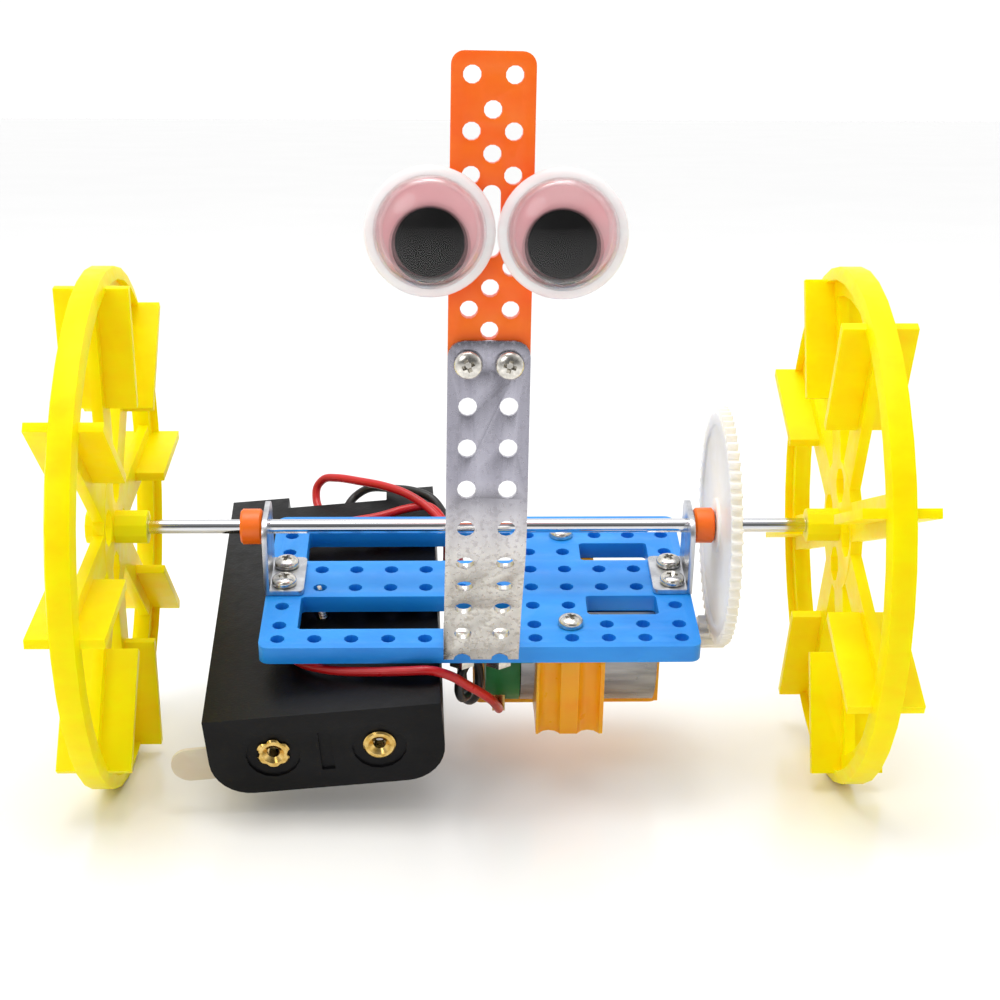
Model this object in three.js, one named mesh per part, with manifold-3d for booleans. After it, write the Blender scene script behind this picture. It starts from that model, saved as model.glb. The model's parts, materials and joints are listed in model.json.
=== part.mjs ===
// Two wheel robot car: a perforated base plate that hangs from one axle, a geared motor,
// a battery holder, two paddle wheels and a neck strip with a pair of wobbly eyes.
// Millimetres, +Z up, +X to the car's left-to-right axle line, the face looks towards -Y.
import * as THREE from 'three';
import { mergeVertices } from 'three/addons/utils/BufferGeometryUtils.js';
import Module from 'manifold-3d';

const wasm = await Module();
wasm.setup();

// ---------- driving dimensions ----------
const PITCH = 5;                 // hole pitch of the base plate
const GAP = 0.1;                 // air between pieces that touch
const TILT = THREE.MathUtils.degToRad(15);  // the chassis hangs nose down
const WHEEL_R = 36.4;
const RIM_SIDES = 40;
const AXLE_HEIGHT = WHEEL_R * Math.cos(Math.PI / RIM_SIDES);   // the rim stands on one flat
const AXLE_R = 1;
const AXLE_RISE = 8.57;          // axle centre above the plate's top face
const HALF_TRACK = 51.7;         // middle plane to rim centre
const ORIGIN_SHIFT_Y = -0.11;     // puts the origin under the middle of the whole box

const PLATE = { x: 60, y: 36.6, thick: 2.5, corner: 1.5, holeR: 1 };
const COLUMNS = 12;
const END_ROW_Y = 15.98;
const ROWS_Y = [-END_ROW_Y, -12.5, -7.5, -2.5, 2.5, 7.5, 12.5, END_ROW_Y];

const MODULE = 0.5;
const GEAR_TEETH = 66;
const PINION_TEETH = 8;
const MOTOR = { y: 1.2, z: -9.95, r: 9.8, half: 7.35, canStart: 6, canEnd: 25.3, capStart: 1 };
const SHAFT_R = 1;

const STRIP_PITCH = 5.15;
const STRIP_T = 0.8;
const STRIP_W = 10;
const EYE_R = 7.75;
const EYE_SPACING = 15.7;

const HOLDER = { x: 31.8, y: 58, z: 12.4, base: 1, side: 1.2, end: 1.6, corner: 5.5 };
const WIRE_R = 0.65;

// ---------- materials ----------
const look = (color, roughness, metalness = 0) =>
  new THREE.MeshStandardMaterial({ color, roughness, metalness });
const yellowPlastic = look(0xffe600, 0.35);
const bluePlastic = look(0x1e96f0, 0.4);
const orangePlastic = look(0xff6e0a, 0.4);
const amberPlastic = look(0xffa000, 0.4);
const nylon = look(0xf6f0e2, 0.35);
const blackPlastic = look(0x17171a, 0.35);
const zincSteel = look(0xb8b8bc, 0.35, 1);
const chrome = look(0xd8dadd, 0.1, 1);
const screwSteel = look(0xc9c7c0, 0.25, 1);
const brass = look(0xc9a04a, 0.3, 1);
const springSteel = look(0xc8c8c8, 0.3, 1);
const copper = look(0xb87333, 0.35, 1);
const greenPlastic = look(0x1c7a3c, 0.5);
const magnetGrey = look(0x3a3a3d, 0.7);
const pinkCard = look(0xf9a9b4, 0.6);
const clearPlastic = look(0xf4f4f4, 0.08);
const pupilBlack = look(0x0b0b0b, 0.3);
const redPvc = look(0xc3161c, 0.4);
const blackPvc = look(0x1b1b1b, 0.4);
const tanFilm = look(0xcdb592, 0.4);

// ---------- solids ----------
function solidOf(geometry) {
  const plain = geometry.clone();
  plain.deleteAttribute('normal');
  plain.deleteAttribute('uv');
  const merged = mergeVertices(plain, 1e-4);
  const index = merged.index.array;
  const kept = [];
  for (let i = 0; i < index.length; i += 3) {
    const [a, b, c] = [index[i], index[i + 1], index[i + 2]];
    if (a !== b && b !== c && c !== a) kept.push(a, b, c);
  }
  return new wasm.Manifold(new wasm.Mesh({
    numProp: 3,
    vertProperties: new Float32Array(merged.attributes.position.array),
    triVerts: new Uint32Array(kept),
  }));
}

function geometryOf(solid) {
  const mesh = solid.getMesh();
  const geometry = new THREE.BufferGeometry();
  geometry.setAttribute('position', new THREE.BufferAttribute(new Float32Array(mesh.vertProperties), 3));
  geometry.setIndex(new THREE.BufferAttribute(new Uint32Array(mesh.triVerts), 1));
  geometry.computeVertexNormals();
  return geometry;
}

const union = (...solids) => solids.reduce((sum, piece) => sum.add(piece));
const cut = (solid, ...tools) => tools.reduce((rest, tool) => rest.subtract(tool), solid);

function box(x0, x1, y0, y1, z0, z1) {
  const geometry = new THREE.BoxGeometry(x1 - x0, y1 - y0, z1 - z0);
  return solidOf(geometry.translate((x0 + x1) / 2, (y0 + y1) / 2, (z0 + z1) / 2));
}

function rodX(x0, x1, radius, sides, y = 0, z = 0) {
  const geometry = new THREE.CylinderGeometry(radius, radius, x1 - x0, sides);
  return solidOf(geometry.rotateZ(-Math.PI / 2).translate((x0 + x1) / 2, y, z));
}

function rodY(y0, y1, radius, sides, x = 0, z = 0) {
  const geometry = new THREE.CylinderGeometry(radius, radius, y1 - y0, sides);
  return solidOf(geometry.translate(x, (y0 + y1) / 2, z));
}

function rodZ(z0, z1, radius, sides, x = 0, y = 0) {
  const geometry = new THREE.CylinderGeometry(radius, radius, z1 - z0, sides);
  return solidOf(geometry.rotateX(Math.PI / 2).translate(x, y, (z0 + z1) / 2));
}

// Revolves [radius, height] points about Z.
function turned(profile, sides) {
  const points = profile.map(([radius, height]) => new THREE.Vector2(radius, height));
  return solidOf(new THREE.LatheGeometry(points, sides).rotateX(Math.PI / 2));
}

// Extrudes an XY shape from z0 to z1.
function slab(shape, z0, z1, curveSegments = 4) {
  const geometry = new THREE.ExtrudeGeometry(shape, { depth: z1 - z0, bevelEnabled: false, curveSegments });
  return solidOf(geometry.translate(0, 0, z0));
}

// Extrudes a shape drawn in (Y, Z) from x0 to x1.
function slabX(shape, x0, x1, curveSegments = 4) {
  const geometry = new THREE.ExtrudeGeometry(shape, { depth: x1 - x0, bevelEnabled: false, curveSegments });
  geometry.rotateX(Math.PI / 2).rotateZ(Math.PI / 2);
  return solidOf(geometry.translate(x0, 0, 0));
}

function polygon(points) {
  return new THREE.Shape(points.map(([x, y]) => new THREE.Vector2(x, y)));
}

function roundedRect(width, height, radius, cx = 0, cy = 0) {
  const [x0, x1, y0, y1] = [cx - width / 2, cx + width / 2, cy - height / 2, cy + height / 2];
  const shape = new THREE.Shape();
  shape.moveTo(x0 + radius, y0);
  shape.lineTo(x1 - radius, y0).absarc(x1 - radius, y0 + radius, radius, -Math.PI / 2, 0);
  shape.lineTo(x1, y1 - radius).absarc(x1 - radius, y1 - radius, radius, 0, Math.PI / 2);
  shape.lineTo(x0 + radius, y1).absarc(x0 + radius, y1 - radius, radius, Math.PI / 2, Math.PI);
  shape.lineTo(x0, y0 + radius).absarc(x0 + radius, y0 + radius, radius, Math.PI, 1.5 * Math.PI);
  return shape;
}

function ngonHole(x, y, radius, sides = 8) {
  const path = new THREE.Path();
  for (let i = 0; i <= sides; i += 1) {
    const angle = ((i + 0.5) / sides) * 2 * Math.PI;
    const point = [x + radius * Math.cos(angle), y + radius * Math.sin(angle)];
    if (i === 0) path.moveTo(...point);
    else path.lineTo(...point);
  }
  return path;
}

function addMesh(parent, name, solid, material) {
  const mesh = new THREE.Mesh(geometryOf(solid), material);
  mesh.name = name;
  parent.add(mesh);
  return mesh;
}

// ---------- groups ----------
const car = new THREE.Group();
const axleGroup = new THREE.Group();
axleGroup.position.set(0, ORIGIN_SHIFT_Y, AXLE_HEIGHT);
car.add(axleGroup);

const tilted = new THREE.Group();
tilted.rotation.x = TILT;
axleGroup.add(tilted);
const chassis = new THREE.Group();      // origin: middle of the plate's top face
chassis.position.z = -AXLE_RISE;
tilted.add(chassis);

// ---------- base plate ----------
function windowHole(x0, x1, y0, y1) {
  return roundedRect(x1 - x0, y1 - y0, 0.6, (x0 + x1) / 2, (y0 + y1) / 2);
}

function basePlate() {
  const windows = [];
  for (const side of [-1, 1]) {
    windows.push([-25, 5, Math.min(5 * side, 13.5 * side), Math.max(5 * side, 13.5 * side)]);
    windows.push([15, 25, Math.min(5 * side, 10 * side), Math.max(5 * side, 10 * side)]);
  }
  const inWindow = (x, y) => windows.some(([x0, x1, y0, y1]) => x > x0 && x < x1 && y > y0 && y < y1);
  const outline = roundedRect(PLATE.x, PLATE.y, PLATE.corner);
  windows.forEach((edge) => outline.holes.push(windowHole(...edge)));
  for (let column = 0; column < COLUMNS; column += 1) {
    const x = (column - (COLUMNS - 1) / 2) * PITCH;
    for (const y of ROWS_Y) {
      if (!inWindow(x, y)) outline.holes.push(ngonHole(x, y, PLATE.holeR, 10));
    }
  }
  return slab(outline, -PLATE.thick, 0, 3);
}
addMesh(chassis, 'base_plate', basePlate(), bluePlastic);

// ---------- screws and nuts ----------
// A cross-head pan screw: underside of the head at z = 0, shank down to -length.
function panScrew(length, headR = 1.75, shankR = 0.68) {
  const body = turned([
    [0, -length], [shankR, -length + 0.6], [shankR, 0], [headR, 0], [headR, 0.55], [headR * 0.72, 1.2], [0, 1.2],
  ], 8);
  const slot = box(-1.05, 1.05, -0.24, 0.24, 0.6, 2);
  const cross = box(-0.24, 0.24, -1.05, 1.05, 0.6, 2);
  return cut(body, slot, cross);
}

function placeScrew(name, length, x, y, z, parent = chassis) {
  const screw = addMesh(parent, name, panScrew(length), screwSteel);
  screw.position.set(x, y, z);
  return screw;
}

// ---------- axle brackets ----------
const BRACKET = { t: 0.7, outer: 30.15, footIn: 24.7, width: 9.6, top: 11.1, corner: 2.6 };

function axleBracket(side) {
  const foot = slab(roundedRect(BRACKET.outer - BRACKET.footIn, BRACKET.width, 0.8,
    (BRACKET.outer + BRACKET.footIn) / 2, 0), GAP, GAP + BRACKET.t);
  const ear = new THREE.Shape();
  const half = BRACKET.width / 2;
  ear.moveTo(-half, GAP);
  ear.lineTo(half, GAP);
  ear.lineTo(half, BRACKET.top - BRACKET.corner);
  ear.absarc(half - BRACKET.corner, BRACKET.top - BRACKET.corner, BRACKET.corner, 0, Math.PI / 2);
  ear.absarc(BRACKET.corner - half, BRACKET.top - BRACKET.corner, BRACKET.corner, Math.PI / 2, Math.PI);
  ear.lineTo(-half, GAP);
  const upright = slabX(ear, BRACKET.outer - BRACKET.t, BRACKET.outer);
  const holes = [
    rodX(28, 32, 1.12, 12, 0, AXLE_RISE),
    rodZ(-1, 3, 0.95, 8, 27.5, -2.5),
    rodZ(-1, 3, 0.95, 8, 27.5, 2.5),
  ];
  const bracket = cut(union(foot, upright), ...holes);
  return side > 0 ? bracket : bracket.mirror([1, 0, 0]);
}
for (const [name, side] of [['left', -1], ['right', 1]]) {
  addMesh(chassis, `${name}_axle_bracket`, axleBracket(side), zincSteel);
  placeScrew(`${name}_bracket_screw_front`, 3.2, side * 27.5, -2.5, 2 * GAP + BRACKET.t);
  placeScrew(`${name}_bracket_screw_rear`, 3.2, side * 27.5, 2.5, 2 * GAP + BRACKET.t);
}

// ---------- neck strip ----------
const FOOT_BACK = -13.4;
const BEND_Y = -END_ROW_Y - STRIP_PITCH;
const NECK_Z = GAP + STRIP_T / 2;
// Centre line of the bent strip: [length, end angle in degrees from +Y] of each stretch.
const NECK_BENDS = [[10.3, 108], [10.3, 116], [2.5, 106], [2.5, 93], [2.5, 82], [1.5, 76]];
const NECK_RISER = 9 * STRIP_PITCH;
const HEAD_ANGLE = THREE.MathUtils.degToRad(76);
const NECK_END = 2.9;            // metal beyond the top screws
const LEAN = THREE.MathUtils.degToRad(0.8);   // the strip leans a little to the right

function neckLine() {
  const points = [[FOOT_BACK, NECK_Z], [BEND_Y, NECK_Z]];
  let [y, z] = points[1];
  let travelled = 0;
  for (const [length, degrees] of NECK_BENDS) {
    const angle = THREE.MathUtils.degToRad(degrees);
    y += length * Math.cos(angle);
    z += length * Math.sin(angle);
    travelled += length;
    points.push([y, z]);
  }
  const rest = NECK_RISER + NECK_END - travelled;
  points.push([y + rest * Math.cos(HEAD_ANGLE), z + rest * Math.sin(HEAD_ANGLE)]);
  return points;
}

// Point and direction on the riser at a distance from the bend.
function neckAt(distance) {
  const points = neckLine().slice(1);
  let left = distance;
  for (let i = 0; i + 1 < points.length; i += 1) {
    const [dy, dz] = [points[i + 1][0] - points[i][0], points[i + 1][1] - points[i][1]];
    const length = Math.hypot(dy, dz);
    if (left <= length || i + 2 === points.length) {
      const share = left / length;
      return { y: points[i][0] + dy * share, z: points[i][1] + dz * share, angle: Math.atan2(dz, dy) };
    }
    left -= length;
  }
  return null;
}

function offsetLine(points, distance) {
  return points.map((point, i) => {
    const before = points[Math.max(i - 1, 0)];
    const after = points[Math.min(i + 1, points.length - 1)];
    const [a, b] = [[point[0] - before[0], point[1] - before[1]], [after[0] - point[0], after[1] - point[1]]];
    const unit = ([u, v]) => [u / (Math.hypot(u, v) || 1), v / (Math.hypot(u, v) || 1)];
    const [ua, ub] = [unit(a), unit(b)];
    const normal = unit([-(ua[1] + ub[1]), ua[0] + ub[0]]);
    const reference = Math.hypot(...a) > 0 ? ua : ub;
    const stretch = distance / Math.abs(reference[0] * normal[1] - reference[1] * normal[0]);
    return [point[0] + normal[0] * stretch, point[1] + normal[1] * stretch];
  });
}

function neckStrip() {
  const line = neckLine();
  const front = offsetLine(line, STRIP_T / 2);
  const back = offsetLine(line, -STRIP_T / 2);
  let strip = slabX(polygon([...front, ...back.reverse()]), -STRIP_W / 2, STRIP_W / 2);
  const holes = [];
  for (const x of [-2.5, 2.5]) {
    holes.push(rodZ(-2, 3, 1.05, 12, x, -END_ROW_Y));
    for (let row = 0; row <= 9; row += 1) {
      const at = neckAt(row * STRIP_PITCH);
      const normal = row === 0 ? at.angle / 2 : at.angle + Math.PI / 2;
      const hole = new THREE.CylinderGeometry(1.15, 1.15, 4, 12);
      hole.rotateX(normal).translate(x, at.y, at.z);
      holes.push(solidOf(hole));
    }
  }
  strip = cut(strip, ...holes);
  return cut(strip, ...stripCorners());
}

// Slides every point above the foot to the right, in proportion to its height.
function leaning(solid) {
  return solid.warp((point) => {
    point[0] += Math.max(0, point[2] - 1) * Math.tan(LEAN);
  });
}

// Small wedges that round the strip's two top corners.
function stripCorners() {
  const top = neckAt(NECK_RISER + NECK_END);
  const radius = 2;
  return [-1, 1].map((side) => {
    const corner = new THREE.Shape();
    const [x, s] = [side * (STRIP_W / 2), -side];
    corner.moveTo(x - s, 1);
    corner.lineTo(x - s, -radius);
    corner.lineTo(x, -radius);
    for (let i = 1; i <= 4; i += 1) {
      const a = (i / 4) * (Math.PI / 2);
      corner.lineTo(x + s * radius * (1 - Math.cos(a)), -radius * (1 - Math.sin(a)));
    }
    corner.lineTo(x + s * radius, 1);
    corner.closePath();
    const geometry = new THREE.ExtrudeGeometry(corner, { depth: 4, bevelEnabled: false });
    geometry.translate(0, 0, -2).rotateX(top.angle).translate(0, top.y, top.z);
    return solidOf(geometry);
  });
}
addMesh(chassis, 'neck_strip', leaning(neckStrip()), zincSteel);
for (const [side, x] of [['left', -2.5], ['right', 2.5]]) {
  placeScrew(`${side}_neck_screw`, 5.2, x, -END_ROW_Y, 2 * GAP + STRIP_T);
  const nut = cut(rodZ(-PLATE.thick - GAP - 1.3, -PLATE.thick - GAP, 1.9, 6, x, -END_ROW_Y),
    rodZ(-6, 0, 0.85, 8, x, -END_ROW_Y));
  addMesh(chassis, `${side}_neck_nut`, nut, screwSteel);
}

// ---------- head ----------
// The head group lies in the strip's upper plane: x across, y up the strip, z out of its front.
const HEAD_T = 2;
const topRow = neckAt(NECK_RISER);
const head = new THREE.Group();
head.position.set((topRow.z - 1) * Math.tan(LEAN), topRow.y, topRow.z);
head.rotation.set(HEAD_ANGLE, 0, -LEAN);
chassis.add(head);
const STRIP_FRONT = STRIP_T / 2;
const HEAD_BACK = -STRIP_T / 2 - GAP - HEAD_T;

function headStrip() {
  const length = 39.4;
  const endToRow = 2.7;
  const farRow = length - 2 * endToRow;
  const outline = roundedRect(STRIP_W, length, 1.6, 0, farRow / 2);
  for (const fromEnd of [0, 6.5, 11.6]) {
    for (const x of [-2.5, 2.5]) {
      outline.holes.push(ngonHole(x, fromEnd, 1.1, 12));
      outline.holes.push(ngonHole(x, farRow - fromEnd, 1.1, 12));
    }
  }
  for (const fromEnd of [4.0, 9.1]) {
    outline.holes.push(ngonHole(0, fromEnd, 1.1, 12));
    outline.holes.push(ngonHole(0, farRow - fromEnd, 1.1, 12));
  }
  outline.holes.push(roundedRect(2.2, farRow - 2 * 12.7, 1.05, 0, farRow / 2));
  return slab(outline, HEAD_BACK, HEAD_BACK + HEAD_T, 3);
}
addMesh(head, 'head_strip', headStrip(), orangePlastic);
for (const [side, x] of [['left', -2.5], ['right', 2.5]]) {
  placeScrew(`${side}_head_screw`, 3.4, x, 0, STRIP_FRONT + GAP, head);
}

// ---------- eyes ----------
const EYE = { rise: 15.9, centreX: 0.6, discT: 0.8, wall: 0.8, cavityR: 6.45, depth: 3.6, pupilR: 4.5 };
const EYE_BASE = HEAD_BACK + HEAD_T + 0.3;

function eyeDome() {
  const low = EYE.discT + GAP;
  const arc = (radius, height, steps) => Array.from({ length: steps + 1 }, (_, i) => {
    const angle = (i / steps) * (Math.PI / 2);
    return [radius * Math.cos(angle), height * Math.sin(angle)];
  });
  const outer = arc(EYE_R - 0.5, EYE.depth - 0.8, 4).map(([r, h]) => [r, low + 0.8 + h]);
  const inner = arc(EYE.cavityR, EYE.depth - 0.8 - EYE.wall, 3).map(([r, h]) => [r, low + 0.8 + h]);
  return turned([
    [EYE.cavityR, low], [EYE_R, low], [EYE_R, low + 0.6], ...outer, ...inner.reverse(), [EYE.cavityR, low],
  ], 20);
}

for (const [side, sign] of [['left', -1], ['right', 1]]) {
  const eye = new THREE.Group();
  eye.position.set(EYE.centreX + (sign * EYE_SPACING) / 2, EYE.rise, EYE_BASE);
  head.add(eye);
  addMesh(eye, `${side}_eye_back`, rodZ(0, EYE.discT, EYE_R - 0.15, 20), pinkCard);
  addMesh(eye, `${side}_eye_dome`, eyeDome(), clearPlastic);
  const pupil = addMesh(eye, `${side}_pupil`, rodZ(0, 0.7, EYE.pupilR, 16), pupilBlack);
  pupil.position.set(0, -1.55, EYE.discT + 2 * GAP);
}

// ---------- axle set ----------
const WHEEL = {
  rimIn: 32.4, webIn: 34.6, halfRim: 2, halfWeb: 0.9, discR: 9.4, discHalf: 0.8, hubR: 2.4,
  hubIn: 5.3, hubOut: 3.2, spokeHalf: 2.7, paddleIn: 18, paddleOut: 35, paddleHalf: 5, paddleT: 1.3,
};
const AXLE_END = HALF_TRACK + 2.6;
addMesh(axleGroup, 'axle', rodX(-AXLE_END, AXLE_END, AXLE_R, 10), chrome);

// Revolves a closed [radius, x] profile about the X axis.
function turnedX(profile, sides) {
  const points = profile.map(([radius, height]) => new THREE.Vector2(radius, height));
  return solidOf(new THREE.LatheGeometry(points, sides).rotateZ(-Math.PI / 2));
}

// side is +1 on the right: the long boss of the hub points inwards.
function wheelSolid(side, phase) {
  const w = WHEEL;
  const rim = turnedX([
    [w.rimIn, -w.halfWeb], [w.webIn, -w.halfWeb], [w.webIn, -w.halfRim], [WHEEL_R, -w.halfRim + 0.5],
    [WHEEL_R, w.halfRim - 0.5], [w.webIn, w.halfRim], [w.webIn, w.halfWeb], [w.rimIn, w.halfWeb],
    [w.rimIn, -w.halfWeb],
  ], RIM_SIDES).rotate([180 / RIM_SIDES, 0, 0]);
  const inner = side > 0 ? -w.hubIn : -w.hubOut;
  const outer = side > 0 ? w.hubOut : w.hubIn;
  let wheel = union(rim, rodX(-w.discHalf, w.discHalf, w.discR, 24), rodX(inner, outer, w.hubR, 10));
  for (let i = 0; i < 8; i += 1) {
    const turn = phase + i * 45;
    const spoke = box(-0.75, 0.75, -w.spokeHalf, w.spokeHalf, 7, w.rimIn + 1);
    const paddle = box(-w.paddleHalf, w.paddleHalf, -w.paddleT / 2, w.paddleT / 2, w.paddleIn, w.paddleOut);
    wheel = wheel.add(spoke.add(paddle).rotate([turn, 0, 0]));
  }
  for (let i = 0; i < 4; i += 1) {
    const hole = rodX(-2, 2, 2.6, 8, 0, 5.9);
    wheel = wheel.subtract(hole.rotate([phase + 22.5 + i * 90, 0, 0]));
  }
  return wheel.subtract(rodX(-9, 9, AXLE_R + GAP, 10));
}
// Angle of one paddle, measured from straight up and turning towards the front.
const LEFT_PHASE = 55.4;
const RIGHT_PHASE = 73.7;
for (const [name, side, phase] of [['left', -1, LEFT_PHASE], ['right', 1, RIGHT_PHASE]]) {
  const wheel = addMesh(axleGroup, `${name}_wheel`, wheelSolid(side, phase), yellowPlastic);
  wheel.position.x = side * HALF_TRACK;
}

const collar = (x0, x1) => cut(rodX(x0, x1, 2.5, 12), rodX(x0 - 1, x1 + 1, AXLE_R + GAP, 10));
addMesh(axleGroup, 'left_collar', collar(-33.4, -30.4), orangePlastic);
addMesh(axleGroup, 'right_collar', collar(30.4, 33.2), orangePlastic);

// ---------- gears ----------
// Teeth with straight flanks; axis along X, a tooth centred at angle 0 from +Y towards +Z.
function toothedOutline(teeth, addendum, dedendum, tipShare, rootShare, firstAngle) {
  const pitchR = (MODULE * teeth) / 2;
  const [tip, root] = [pitchR + addendum, pitchR - dedendum];
  const shape = new THREE.Shape();
  const step = (2 * Math.PI) / teeth;
  for (let i = 0; i < teeth; i += 1) {
    const middle = firstAngle + i * step;
    const corners = [[root, -rootShare], [tip, -tipShare], [tip, tipShare], [root, rootShare]];
    corners.forEach(([radius, share], corner) => {
      const angle = middle + share * step;
      const point = [radius * Math.cos(angle), radius * Math.sin(angle)];
      if (i === 0 && corner === 0) shape.moveTo(...point);
      else shape.lineTo(...point);
    });
  }
  return shape;
}

// Direction from the axle to the motor shaft, in the chassis frame and then in the car's frame.
const meshAngle = Math.atan2(MOTOR.z - AXLE_RISE, MOTOR.y);
const GEAR_X = [33.4, 34.9];

function driveGear() {
  const outline = toothedOutline(GEAR_TEETH, 0.42, 0.62, 0.1, 0.27, meshAngle + TILT);
  const blank = slabX(outline, ...GEAR_X);
  const recess = (x0, x1) => cut(rodX(x0, x1, 14.4, 22), rodX(x0 - 1, x1 + 1, 4, 12));
  const boss = rodX(GEAR_X[1] - 0.1, 37, 2.5, 12);
  return cut(union(cut(blank, recess(33, 33.75), recess(34.55, 36)), boss),
    rodX(30, 40, AXLE_R + GAP, 10));
}
addMesh(axleGroup, 'drive_gear', driveGear(), nylon);

const rotor = new THREE.Group();       // origin on the motor shaft, chassis orientation
rotor.position.set(0, MOTOR.y, MOTOR.z);
chassis.add(rotor);

function pinion() {
  const gapTowardsGear = meshAngle + Math.PI + Math.PI / PINION_TEETH;
  const outline = toothedOutline(PINION_TEETH, 0.45, 0.6, 0.1, 0.3, gapTowardsGear);
  return cut(slabX(outline, 32.3, 36.2), rodX(30, 40, SHAFT_R + GAP, 12));
}
addMesh(rotor, 'pinion', pinion(), nylon);
addMesh(rotor, 'motor_shaft', rodX(-0.4, 36.3, SHAFT_R, 12), chrome);

// Three wound poles round the shaft.
function armature() {
  const core = rodX(9.6, 21.4, 2.2, 18);
  const poles = [0, 1, 2].map((i) => {
    const neck = box(9.6, 21.4, -0.9, 0.9, 1.6, 5.6);
    const shoe = new THREE.Shape();
    shoe.absarc(0, 0, 6.4, Math.PI / 2 - 0.85, Math.PI / 2 + 0.85);
    shoe.absarc(0, 0, 5.3, Math.PI / 2 + 0.85, Math.PI / 2 - 0.85, true);
    return union(neck, slabX(shoe, 9.6, 21.4)).rotate([i * 120, 0, 0]);
  });
  return cut(union(core, ...poles), rodX(0, 40, SHAFT_R + GAP, 12));
}
addMesh(rotor, 'armature', armature(), zincSteel);

// The enamelled wire is one bundle on each neck, joined at the pole ends.
function windings() {
  const bundle = (i) => {
    const lobe = cut(box(8.7, 22.3, -2.6, 2.6, 2.6, 4.3), box(9.5, 21.5, -1, 1, 2, 6));
    return lobe.rotate([i * 120, 0, 0]);
  };
  return [0, 1, 2].map(bundle);
}
windings().forEach((solid, i) => addMesh(rotor, `armature_winding_${i + 1}`, solid, copper));
addMesh(rotor, 'commutator', cut(rodX(3.4, 8.3, 2.1, 18), rodX(0, 10, SHAFT_R + GAP, 12)), copper);

// ---------- motor ----------
// Round body with two flats, drawn in (Y, Z) about the shaft.
function motorOutline(inset) {
  const [radius, half] = [MOTOR.r - inset, MOTOR.half - inset];
  const corner = Math.asin(half / radius);
  const shape = new THREE.Shape();
  shape.absarc(0, 0, radius, -corner, corner);
  shape.absarc(0, 0, radius, Math.PI - corner, Math.PI + corner);
  shape.closePath();
  return shape;
}
const motor = new THREE.Group();
motor.position.copy(rotor.position);
chassis.add(motor);

function motorCan() {
  const shell = cut(slabX(motorOutline(0), MOTOR.canStart, MOTOR.canEnd, 6),
    slabX(motorOutline(0.5), MOTOR.canStart - 1, MOTOR.canEnd - 0.6, 6));
  const boss = rodX(MOTOR.canEnd - 0.3, MOTOR.canEnd + 1.5, 3, 16);
  const vents = [-1, 1].map((side) => box(20.6, 22, side * 8.6 - 2, side * 8.6 + 2, 3.2, 5.8));
  return cut(union(shell, boss), ...vents, rodX(20, 30, SHAFT_R + 0.2, 12));
}
addMesh(motor, 'motor_can', motorCan(), zincSteel);

function endCap() {
  const end = MOTOR.canStart - GAP;
  const cup = cut(slabX(motorOutline(0), MOTOR.capStart, end, 6),
    slabX(motorOutline(1.4), MOTOR.capStart + 1.4, end + 1, 6));
  const boss = rodX(-0.3, MOTOR.capStart + 0.5, 2.8, 16);
  const latch = box(-0.6, 7.6, -10.6, -9.9, 1.5, 6.9);
  const latchRoot = box(1.2, 5.6, -10.2, -7.6, 1.5, 5.8);
  const slots = [-1, 1].map((side) => box(1.9, 3.9, side * 7.2 - 0.8, side * 7.2 + 0.8, -7, -4.4));
  return cut(union(cup, boss, latch, latchRoot), ...slots, rodX(-2, 8, SHAFT_R + 0.2, 12));
}
addMesh(motor, 'motor_end_cap', endCap(), greenPlastic);

// A brass tag below the cap that runs in to a brush on the commutator.
function brushTerminal(side) {
  const spanY = (a, b) => [Math.min(side * a, side * b), Math.max(side * a, side * b)];
  const tag = box(2, 3.8, ...spanY(7.5, 7.9), -8.4, -4.7);
  const blade = box(3.4, 3.8, ...spanY(2.3, 7.7), -5.3, -4.7);
  const arm = box(3.4, 3.8, ...spanY(2.3, 2.9), -5.3, 0.8);
  const hole = rodY(...spanY(7, 8.4), 0.4, 8, 2.9, -7.6);
  return cut(union(tag, blade, arm), hole);
}
addMesh(motor, 'front_brush_terminal', brushTerminal(-1), brass);
addMesh(motor, 'rear_brush_terminal', brushTerminal(1), brass);

function magnet(side) {
  const arc = new THREE.Shape();
  const middle = side > 0 ? 0 : Math.PI;
  arc.absarc(0, 0, 9.1, middle - 0.75, middle + 0.75);
  arc.absarc(0, 0, 6.9, middle + 0.75, middle - 0.75, true);
  return slabX(arc, 9, 22.2, 6);
}
addMesh(motor, 'front_magnet', magnet(-1), magnetGrey);
addMesh(motor, 'rear_magnet', magnet(1), magnetGrey);

// ---------- motor cradle ----------
const CRADLE = { trayTop: MOTOR.half + GAP, trayBottom: MOTOR.half + 1.2, postX: [7.9, 17.3], screwX: 12.5 };

function cradlePost(side) {
  const top = -PLATE.thick - GAP - MOTOR.z;
  const [inner, outer] = [side * 9.5 - MOTOR.y, side * 15 - MOTOR.y];
  const low = -16.6 - MOTOR.z;
  const outline = polygon([
    [inner, top], [outer, top], [outer, low], [side * 11.2, low],
    [side * 4.2, -CRADLE.trayBottom], [side * 4.2, -CRADLE.trayTop], [side * 6, -CRADLE.trayTop],
  ]);
  return slabX(outline, ...CRADLE.postX);
}

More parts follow.
